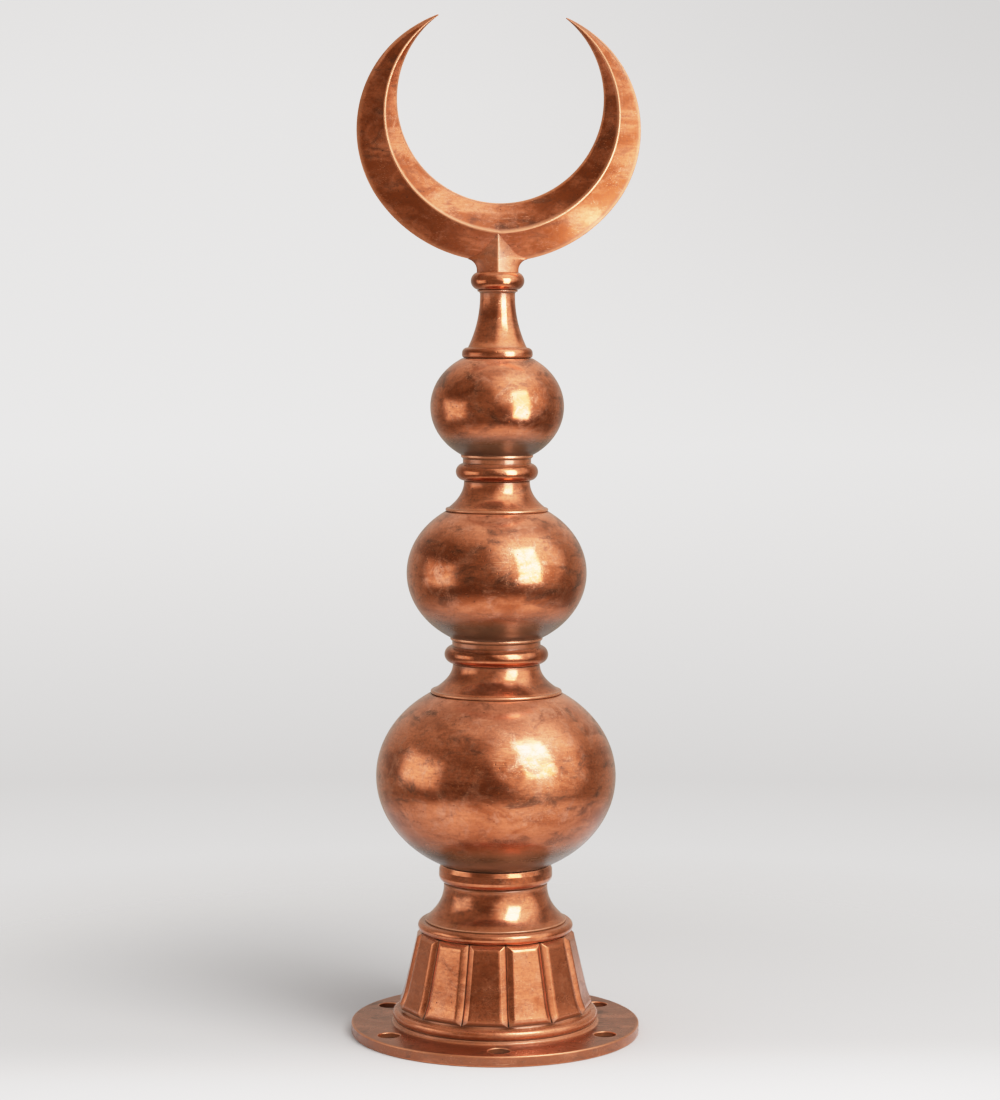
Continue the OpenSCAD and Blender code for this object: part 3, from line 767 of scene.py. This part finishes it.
def foot_outline():
    panel_r = PANEL_TOP_R + PANEL_H * math.tan(math.radians(PANEL_SLOPE))
    foot_r = panel_r + FOOT_STANDOUT
    ledge_r = panel_r - VALLEY_DEPTH + 0.6
    height = FOOT_FILLET + 2 * FOOT_BEAD + FOOT_COVE
    return [
        *arc(foot_r + FOOT_FILLET - 1, FOOT_FILLET, FOOT_FILLET, -90, -180),
        *arc(foot_r - FOOT_BEAD, FOOT_FILLET + FOOT_BEAD, FOOT_BEAD, -60, 90),
        *arc(ledge_r + FOOT_COVE, height, FOOT_COVE, -90, -180),
        [ledge_r - 3, height]]


def panelled_base_mesh(material):
    foot = make_object("foot", spin_mesh("foot", foot_outline(), low("panelled_base"), (0.6, 0.0)))
    mesh = run_tree(panel_ring_tree(), "panelled_base_shell", panel_mesh(), {
        "Count": PANEL_COUNT, "Turn": math.radians(PANEL_TURN - 90), "Foot": foot, "Seed": 5,
        "Material": material})
    bpy.data.objects.remove(foot)
    close_ends(mesh)
    mesh.shade_smooth()
    return mesh


# ---- the flange ----

def flange_mesh():
    """Disc with a rounded rim and six holes with worn lips, filled between them with flat faces."""
    thick, radius = tall("flange"), widest("flange")
    work = bmesh.new()
    wear_layer = work.verts.layers.float.new("wear")
    grime_and_shade_layer = work.verts.layers.float.new("grime")

    def wall(outline, cx, cy, around, inward):
        """Turns an outline about an upright axis and returns its first and last rings of edges."""
        points = fill_gaps(ease_corners(outline))
        outer_edges = points * (-1, 1) if inward else points     # a bore bends the other way
        wear, _ = wear_grime_and_shade(outer_edges, (0, 0))
        rings = []
        for (r, z), worn in zip(points, wear):
            ring = []
            for a in np.linspace(0, TURN, around, endpoint=False):
                vertex = work.verts.new(((cx + r * math.cos(a)) * MM, (cy + r * math.sin(a)) * MM, z * MM))
                vertex[wear_layer] = worn
                # Painted shade: darker the deeper down a bore, and lightly darkened over the rim's wall.
                bore_and_rim_shade = min(0.95, 0.4 + 1.5 * max(0, 1 - z / 6)) if inward else 0.27
                vertex[grime_and_shade_layer] = bore_and_rim_shade if worn < 0.2 and 0.5 < z < thick - 0.5 else 0.0
                ring.append(vertex)
            rings.append(ring)
        for below, above in zip(rings, rings[1:]):
            for j in range(around):
                k = (j + 1) % around
                loop = (below[j], below[k], above[k], above[j])
                work.faces.new(loop[::-1] if inward else loop).smooth = True
        return [
            [work.edges.get((ring[j - 1], ring[j])) for j in range(around)]
            for ring in (rings[0], rings[-1])]

    e = FLANGE_EDGE
    rim = [[radius - RIM_LAND, 0], *arc(radius - e, e, e, -90, 0), *arc(radius - e, thick - e, e, 0, 90),
           [radius - RIM_LAND, thick]]
    bottom, top = wall(rim, 0, 0, 360, False)
    for i in range(HOLE_COUNT):
        a = TURN * i / HOLE_COUNT - TURN / 4
        lip = HOLE_LIP
        bore = [[HOLE_R + HOLE_LAND, 0], [HOLE_R, 0], [HOLE_R, thick / 2],
                *arc(HOLE_R + lip, thick - lip, lip, 180, 90), [HOLE_R + HOLE_LAND, thick]]
        low_ring, high_ring = wall(bore, HOLE_CIRCLE_R * math.cos(a), HOLE_CIRCLE_R * math.sin(a), 64, True)
        bottom += low_ring
        top += high_ring
    for edges, up in ((bottom, -1), (top, 1)):
        made = bmesh.ops.triangle_fill(work, edges=edges, use_beauty=True, normal=(0, 0, up))
        for face in made["geom"]:
            if isinstance(face, bmesh.types.BMFace):
                face.smooth = False
    bmesh.ops.recalc_face_normals(work, faces=work.faces)
    mesh = bpy.data.meshes.new("flange_plate")
    work.to_mesh(mesh)
    work.free()
    return mesh


# ---- the crescent ----

HORN_CENTRE = STEM_H + HORN_W + HORN_R      # height of the inner edge's centre above the stem's foot
OUTER_R = HORN_R + HORN_W - OUTER_DROP
OUTER_CENTRE = np.array([-HORN_SHIFT, -OUTER_DROP])


def side_centre(side):
    return OUTER_CENTRE + SIDE_TUCK * np.array([side * math.sin(SIDE_JOIN), -math.cos(SIDE_JOIN)])


def reach(direction, centre, radius):
    """Distance from the inner edge's centre, in a direction, to a circle."""
    along = float(direction @ centre)
    return along + math.sqrt(along ** 2 + radius ** 2 - float(centre @ centre))


def horn_width(angle):
    """Width across both bevels, at an angle from the bottom."""
    direction = np.array([math.sin(angle), -math.cos(angle)])
    distance = reach(direction, OUTER_CENTRE, OUTER_R)
    off = direction * distance - OUTER_CENTRE
    if math.atan2(abs(off[0]), -off[1]) >= SIDE_JOIN:
        distance = reach(direction, side_centre(math.copysign(1, angle)), OUTER_R - SIDE_TUCK)
    return distance - HORN_R


def tip_angle(side):
    centre = side_centre(side)
    inner = HORN_R + HORN_TIP_W
    along = (inner ** 2 + float(centre @ centre) - (OUTER_R - SIDE_TUCK) ** 2) / (2 * inner)
    return math.atan2(side * centre[0], -centre[1]) + math.acos(along / np.linalg.norm(centre))


def horn_ring(width, depth, share):
    """Section across the crescent, as [distance out from the inner edge, depth, wear, grime].
    The ridges and edges are rounded, and each bevel is very slightly hollow."""
    corners = [
        (np.array([0.0, 0.0]), EDGE_ROUND, 0.9), (np.array([share * width, -depth]), RIDGE_ROUND, 1.0),
        (np.array([width, 0.0]), EDGE_ROUND, 0.9), (np.array([share * width, depth]), RIDGE_ROUND, 1.0)]
    ring = []
    for k in range(4):
        here, radius, worn = corners[k]
        before, after = corners[k - 1][0], corners[(k + 1) % 4][0]
        to_before, to_after = before - here, after - here
        near, far = np.linalg.norm(to_before), np.linalg.norm(to_after)
        angle = math.acos(-float(to_before @ to_after) / near / far)
        cut = min(radius * math.tan(angle / 2), 0.2 * near, 0.2 * far)
        start, end = here + to_before / near * cut, here + to_after / far * cut
        for t in np.linspace(0, 1, 7):
            point = (1 - t) ** 2 * start + 2 * t * (1 - t) * here + t ** 2 * end
            ring.append([*point, worn, 0.0])
        next_cut = min(0.2 * far, cut * 4)
        along = to_after / far
        outward = np.array([along[1], -along[0]])
        outer_end = 1.0 if k in (1, 2) else 0.0
        first, last = cut + min(0.6, 0.1 * far), far - next_cut
        for s in np.linspace(first, last, 12):
            hollow = BEVEL_HOLLOW * math.sin(math.pi * s / far) * min(1, width / HORN_W)
            from_outer = far - s if k == 1 else s
            from_inner = s if k == 0 else far - s
            dirt = outer_end * 0.6 * math.exp(-((from_outer - 1.8) / 1.5) ** 2)
            dirt = max(dirt, (1 - outer_end) * 0.55 * math.exp(-((from_inner - 1.0) / 0.7) ** 2))
            ring.append([*(here + along * s - outward * hollow), 0.0, dirt])
    return ring


def horns_mesh():
    left, right = tip_angle(-1), tip_angle(1)
    vertices, wear, grime = [], [], []
    for t in np.linspace(-1, 1, HORN_STATIONS + 1):
        angle = t * (left if t < 0 else right)
        width = horn_width(angle)
        tip_share = LEFT_TIP_RIDGE_SHARE if t < 0 else RIGHT_TIP_RIDGE_SHARE
        share = RIDGE_SHARE + (tip_share - RIDGE_SHARE) * abs(t) ** RIDGE_POWER
        around = horn_ring(width, HORN_HALF_T * width / HORN_W, share)
        for out, depth, worn, dirt in around:
            radius = HORN_R + out
            vertices.append([radius * math.sin(angle), depth, -radius * math.cos(angle)])
            wear.append(worn)
            grime.append(dirt)
    ring = len(around)
    faces = [tuple(range(ring)), *ring_faces(HORN_STATIONS + 1, ring, clockwise=True)]
    faces.append(tuple(HORN_STATIONS * ring + k for k in reversed(range(ring))))
    turn = Matrix.Rotation(HORN_LEAN, 3, "Y")
    placed = [turn @ (Vector(v) + Vector((HORN_SHIFT, 0, HORN_CENTRE))) for v in vertices]
    lifted = (np.array(placed) + [0, 0, low("crescent")]) * MM
    return mesh_from("horns", lifted, faces, wear=wear, grime=grime)


def stem_levels():
    """[half width of the faces, extra width of the flare, depth, height], from the foot upwards."""
    fillet_x = STEM_HALF_W + STEM_FILLET
    rise = math.sqrt((OUTER_R + STEM_FILLET) ** 2 - fillet_x ** 2)
    fillet_z = HORN_CENTRE - OUTER_DROP - rise
    sweep = math.asin(rise / (OUTER_R + STEM_FILLET))
    levels = [[STEM_HALF_W, 0.0, STEM_DEPTH, z] for z in np.linspace(0, fillet_z, 6)[:-1]]
    for a in np.linspace(0, sweep, 14):
        flare_w = STEM_FILLET * (1 - math.cos(a))
        levels.append([STEM_HALF_W, flare_w, STEM_DEPTH, fillet_z + STEM_FILLET * math.sin(a)])
    top_z = levels[-1][3]
    ridge_z = HORN_CENTRE - HORN_R - RIDGE_SHARE * HORN_W
    for t in np.linspace(0, 1, 20)[1:]:
        levels.append([
            STEM_HALF_W * (1 - 0.45 * t), flare_w * max(0, 1 - 3 * t),
            STEM_DEPTH * (1 + 0.05 * t), top_z + (ridge_z - top_z) * t])
    levels.append([STEM_HALF_W * 0.25, 0.0, STEM_DEPTH * 0.6, ridge_z + 4])
    return levels


def stem_mesh():
    """Stem with a ridge to front and back and rounded sides, which runs up into the crescent."""
    ridge = [0.004, 0.02, 0.04]
    shares = [*ridge, *np.linspace(0.07, 0.94, 16)]
    quarter = [
        (math.sin(math.pi / 2 * t), 1 - math.sqrt(t * t + 0.0012) + 0.01, (t / 0.94) ** 5)
        for t in shares]
    loop = [(x, -y, f) for x, y, f in quarter] + [(x, y, f) for x, y, f in quarter[::-1]]
    loop += [(-x, y, -f) for x, y, f in quarter] + [(-x, -y, -f) for x, y, f in quarter[::-1]]
    vertices, wear = [], []
    levels = stem_levels()
    for half_w, flare_w, depth, z in levels:
        for x, y, flared in loop:
            vertices.append([x * half_w + flared * flare_w, y * depth, z])
            wear.append(0.9 * math.exp(-(x * half_w / 0.8) ** 2))
    ring = len(loop)
    faces = [tuple(reversed(range(ring))), *ring_faces(len(levels), ring)]
    faces.append(tuple((len(levels) - 1) * ring + k for k in range(ring)))
    placed = np.array(vertices) * MM + [0, 0, low("crescent") * MM]
    return mesh_from("stem", placed, faces, wear=wear, grime=np.full(len(vertices), 0.2))


def join_meshes(name, *meshes):
    work = bmesh.new()
    for mesh in meshes:
        work.from_mesh(mesh)
    bmesh.ops.recalc_face_normals(work, faces=work.faces)
    joined = bpy.data.meshes.new(name)
    work.to_mesh(joined)
    work.free()
    for mesh in meshes:
        bpy.data.meshes.remove(mesh)
    joined.shade_smooth()
    return joined


# ---- the object ----

def build_finial():
    plate, pressed, spun, bright, formed = [worn_copper(name, *look) for name, look in COPPERS.items()]
    balls = ball_tree()
    collar_seat = widest("collar") - COLLAR_EDGE_STEP - BALL_SETBACK
    lower_seat = widest("lower_ring") - LOWER_BAND_SETBACK + BAND_LIP
    upper_seat = widest("upper_ring") - UPPER_BAND_SETBACK + BAND_LIP
    turned = {
        "base_neck": base_neck_outline(),
        "collar": collar_outline(),
        "lower_neck": neck_outline("lower_neck", LOWER_NECK_TOP_R),
        "lower_ring": ring_outline("lower_ring", LOWER_BAND_SETBACK),
        "upper_neck": neck_outline("upper_neck", UPPER_NECK_TOP_R),
        "upper_ring": ring_outline("upper_ring", UPPER_BAND_SETBACK),
        "long_neck": long_neck_outline(),
        "knop": knop_outline()}
    pieces = {node: (spin_mesh(node + "_shell", outline, low(node)), bright, "spun_copper")
              for node, outline in turned.items()}
    for node, seat_r, above, seed in (
            ("large_ball", collar_seat, "lower_neck", 3.0),
            ("middle_ball", lower_seat, "upper_neck", 7.0),
            ("small_ball", upper_seat, "long_neck", 11.0)):
        pieces[node] = (ball_mesh(balls, node, seat_r, widest(above), seed, spun), spun, "spun_copper")
    pieces["flange"] = (flange_mesh(), plate, "plate_copper")
    pieces["panelled_base"] = (panelled_base_mesh(pressed), pressed, "pressed_copper")
    pieces["crescent"] = (join_meshes("crescent_shell", horns_mesh(), stem_mesh()), formed, "formed_copper")
    for node, (mesh, material, slot) in pieces.items():
        piece = make_object(node + "_copper", mesh, material)
        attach(piece, "root")
        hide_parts(node)


# ---- stage, light and camera ----

FULL_WHITE = 5.0
TONES = (       # light in the scene, and how bright it is shown
    (0.02, 0.013), (0.05, 0.036), (0.1, 0.081), (0.2, 0.183), (0.3, 0.292), (0.5, 0.5), (0.65, 0.625),
    (0.8, 0.73), (1.0, 0.82), (1.5, 0.915), (2.0, 0.953), (3.0, 0.982))
ROOM_LIGHT = (0.26, 0.2, 0.14)     # the dim warm room in front
FLOOR_LIGHT = (0.7, 0.7, 0.7, 1.0)
BACKDROP_LIGHT = 1.16
FLOOR_TONE = "#c8c6c5"
# lighter floor colour in front of the object: a painted pool of light
FLOOR_PAINTED_FRONT_LIGHT = "#e8e5e4"
BACKDROP_STOPS = (
    (0.13, "#d9d7d6"), (0.19, "#cfcdcc"), (0.3, "#dad8d7"), (0.52, "#edebea"), (0.85, "#e6e4e3"),
    (1.0, "#dcdad9"))
SOFTBOXES = {
    # name: azimuth, elevation, distance, height aimed at, size, radiance, soft edge
    "fill_softbox": (-80, 3, 1.0, 0.36, (1.2, 0.8), 1.15, 0.7),
    "key_softbox": (39, 8, 0.46, 0.5, (0.265, 0.56), 6.5, 0.25),
    "floor_softbox": (42, 50, 1.35, 0.3, (0.75, 1.4), 7.5, 0.12)}
CAMERA_LENS = 91.64        # millimetres on a 36 mm sensor
CAMERA_DISTANCE = 2.304
CAMERA_HEIGHT = 0.588
CAMERA_AZIMUTH = math.radians(1.839)
CAMERA_AIM = math.radians(1.839 + 0.068)
CAMERA_PITCH = math.radians(4.591)
CAMERA_ROLL = math.radians(0.2)


def place_camera():
    data = bpy.data.cameras.new("camera")
    data.lens = CAMERA_LENS
    data.sensor_width = 36
    camera = bpy.data.objects.new("camera", data)
    bpy.context.scene.collection.objects.link(camera)
    ahead = Vector((
        math.sin(CAMERA_AIM) * math.cos(CAMERA_PITCH),
        math.cos(CAMERA_AIM) * math.cos(CAMERA_PITCH),
        -math.sin(CAMERA_PITCH)))
    side = ahead.cross(Vector((0, 0, 1))).normalized()
    up = side.cross(ahead)
    right = side * math.cos(CAMERA_ROLL) + up * math.sin(CAMERA_ROLL)
    above = right.cross(ahead)
    turn = Matrix((right, above, -ahead)).transposed()
    spot = Vector((
        -CAMERA_DISTANCE * math.sin(CAMERA_AZIMUTH),
        -CAMERA_DISTANCE * math.cos(CAMERA_AZIMUTH),
        CAMERA_HEIGHT))
    camera.matrix_world = Matrix.Translation(spot) @ turn.to_4x4()
    bpy.context.scene.camera = camera


def toward(azimuth, elevation):
    """Unit vector away from the object; azimuth is in degrees from the front, towards +X."""
    a, e = math.radians(azimuth), math.radians(elevation)
    return Vector((math.sin(a) * math.cos(e), -math.cos(a) * math.cos(e), math.sin(e)))


def softbox(name, azimuth, elevation, distance, aim_height, size, radiance, soft_edge):
    """A rectangular softbox aimed at the axis; soft_edge is the share of it over which it fades out."""
    data = bpy.data.lights.new(name, "AREA")
    data.shape = "RECTANGLE"
    data.size, data.size_y = size
    data.energy = radiance * math.pi * size[0] * size[1]
    data.use_nodes = True
    tree = data.node_tree
    tree.nodes.clear()
    flat = add(tree, "ShaderNodeNewGeometry").outputs["Parametric"]
    centred = add(tree, VECTOR, (flat, (0.5, 0.5, 0.0)), operation="SUBTRACT")
    folded = add(tree, VECTOR, [centred], operation="ABSOLUTE")
    sides = add(tree, SPLIT, [folded]).outputs
    share = add(tree, MATH, (sides["X"], sides["Y"]), operation="MAXIMUM")
    fade = add(tree, RAMP, (share, 0.5, 0.5 * (1 - soft_edge)), **SMOOTH)
    add(tree, "ShaderNodeOutputLight", [add(tree, "ShaderNodeEmission", {"Strength": fade})])
    light = bpy.data.objects.new(name, data)
    bpy.context.scene.collection.objects.link(light)
    aim = Vector((0, 0, aim_height))
    way = toward(azimuth, elevation)
    light.location = aim + way * distance
    light.rotation_mode = "QUATERNION"
    light.rotation_quaternion = way.to_track_quat("Z", "Y")
    return light


def floor():
    """Pale floor that fades into the backdrop away from the object, with a painted pool of light: its colour
    is lighter in front of the object.
    """
    bpy.ops.mesh.primitive_circle_add(vertices=96, radius=1.4, fill_type="NGON")
    disc = bpy.context.object
    disc.name = "floor"
    material = bpy.data.materials.new("matt_paper")
    material.use_nodes = True
    tree = material.node_tree
    tree.nodes.clear()
    place = add(tree, "ShaderNodeTexCoord").outputs["Object"]
    away = add(tree, VECTOR, [place], operation="LENGTH")
    fade = add(tree, RAMP, (away, 0.3, 0.85), **SMOOTH)
    # Painted light: the floor's colour is lighter in front of the object.
    front = add(tree, RAMP, (add(tree, SPLIT, [place]).outputs["Y"], -0.02, -0.24), **SMOOTH)
    tone = add(tree, MIX, (front, srgb(FLOOR_TONE), srgb(FLOOR_PAINTED_FRONT_LIGHT)), **COLOUR)
    paper = add(tree, "ShaderNodeBsdfDiffuse", {"Color": tone})
    clear = add(tree, "ShaderNodeBsdfTransparent")
    mixed = add(tree, "ShaderNodeMixShader", (fade, paper, clear))
    add(tree, "ShaderNodeOutputMaterial", {"Surface": mixed})
    disc.data.materials.append(material)


def backdrop(tree, parts):
    """What the camera sees behind the object: pale greys by height, darker up to the right."""
    height = add(tree, RAMP, (parts["Z"], -0.3, 0.2), **SMOOTH)
    shades = add(tree, "ShaderNodeValToRGB", [height])
    stops = shades.color_ramp.elements
    stops[0].position, stops[0].color = BACKDROP_STOPS[0][0], srgb(BACKDROP_STOPS[0][1])
    stops[1].position, stops[1].color = BACKDROP_STOPS[-1][0], srgb(BACKDROP_STOPS[-1][1])
    for position, tone in BACKDROP_STOPS[1:-1]:
        stops.new(position).color = srgb(tone)
    rightward = add(tree, RAMP, (parts["X"], -0.05, 0.25), **SMOOTH)
    upward = add(tree, RAMP, (parts["Z"], -0.14, 0.1, 0.0, -0.22), **SMOOTH)
    level = add(tree, MATH, (rightward, upward, BACKDROP_LIGHT), operation="MULTIPLY_ADD")
    return add(tree, VECTOR, (shades, level), operation="SCALE")


def room(tree, way, parts):
    """What the metal mirrors: a dim warm room, brighter up to the right and behind."""
    light = add(tree, RAMP, (parts["Y"], 0.1, 0.9, 0.0, 0.2), **SMOOTH)
    for azimuth, elevation, start, end, top in ((50, 30, 0.55, 0.92, 1.2), (60, 75, 0.65, 0.98, 0.4)):
        near = add(tree, VECTOR, (way, toward(azimuth, elevation)), operation="DOT_PRODUCT")
        glow = add(tree, RAMP, (near, start, end, 0.0, top), **SMOOTH)
        light = add(tree, MATH, (light, glow), operation="ADD")
    return add(tree, VECTOR, (light, ROOM_LIGHT), operation="ADD")


def studio():
    """World and softboxes. The camera sees the backdrop, matt surfaces an even light, and the metal
    the room and two of the softboxes."""
    world = bpy.data.worlds.new("studio")
    world.use_nodes = True
    tree = world.node_tree
    tree.nodes.clear()
    way = add(tree, "ShaderNodeTexCoord").outputs["Generated"]
    parts = add(tree, SPLIT, [way]).outputs
    rays = add(tree, "ShaderNodeLightPath").outputs
    lit = add(tree, MIX, (rays["Is Diffuse Ray"], room(tree, way, parts), FLOOR_LIGHT), **COLOUR)
    colour = add(tree, MIX, (rays["Is Camera Ray"], lit, backdrop(tree, parts)), **COLOUR)
    background = add(tree, "ShaderNodeBackground", {"Color": colour, "Strength": 1.0})
    add(tree, "ShaderNodeOutputWorld", {"Surface": background})
    bpy.context.scene.world = world
    boxes = {name: softbox(name, *values) for name, values in SOFTBOXES.items()}
    boxes["key_softbox"].visible_diffuse = False      # only the metal sees it
    boxes["floor_softbox"].visible_glossy = False     # only lights the floor and the dull film


def tone_curve():
    """Film-like response: straight in the middle, with a soft shoulder so that highlights on the metal
    pass through peach to white."""
    view = bpy.context.scene.view_settings
    view.view_transform = "Standard"
    view.use_curve_mapping = True
    mapping = view.curve_mapping
    mapping.white_level = (FULL_WHITE, FULL_WHITE, FULL_WHITE)
    curve = mapping.curves[3]
    for light, shown in TONES:
        curve.points.new(light / FULL_WHITE, shown)
    mapping.update()


build_finial()
place_camera()
floor()
studio()
tone_curve()
